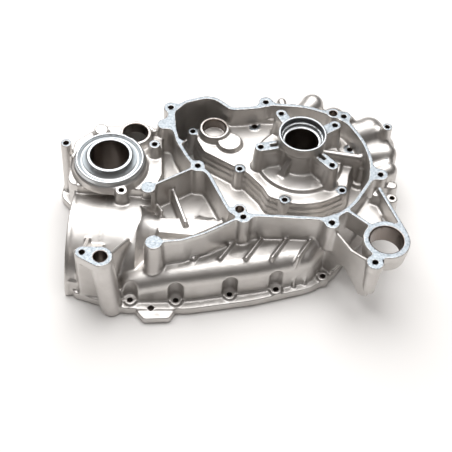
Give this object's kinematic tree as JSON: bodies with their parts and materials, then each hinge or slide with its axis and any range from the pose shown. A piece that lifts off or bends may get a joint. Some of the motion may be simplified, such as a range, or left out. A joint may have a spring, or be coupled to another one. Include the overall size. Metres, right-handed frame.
{
  "type": "crankcase half",
  "caption": "Die-cast crankcase half with a tall cover rim, bored main boss with webbed lugs, turned output seat, half barrel, ribbed shaft cover and two hanger lugs.",
  "frame": {"origin": "axis of the main bore at the parting face", "axes": "+Z along the main bore, from the parting face to the outer side; +X towards the ringed hanger lug; +Y towards the back edge"},
  "size_m": [0.4426, 0.3355, 0.122],
  "materials": {
    "cast_aluminium": "shot-blasted die casting, machined on its joint faces and bores"
  },
  "bodies": {
    "root": {"crankcase_half": "cast_aluminium"}
  },
  "joints": []
}
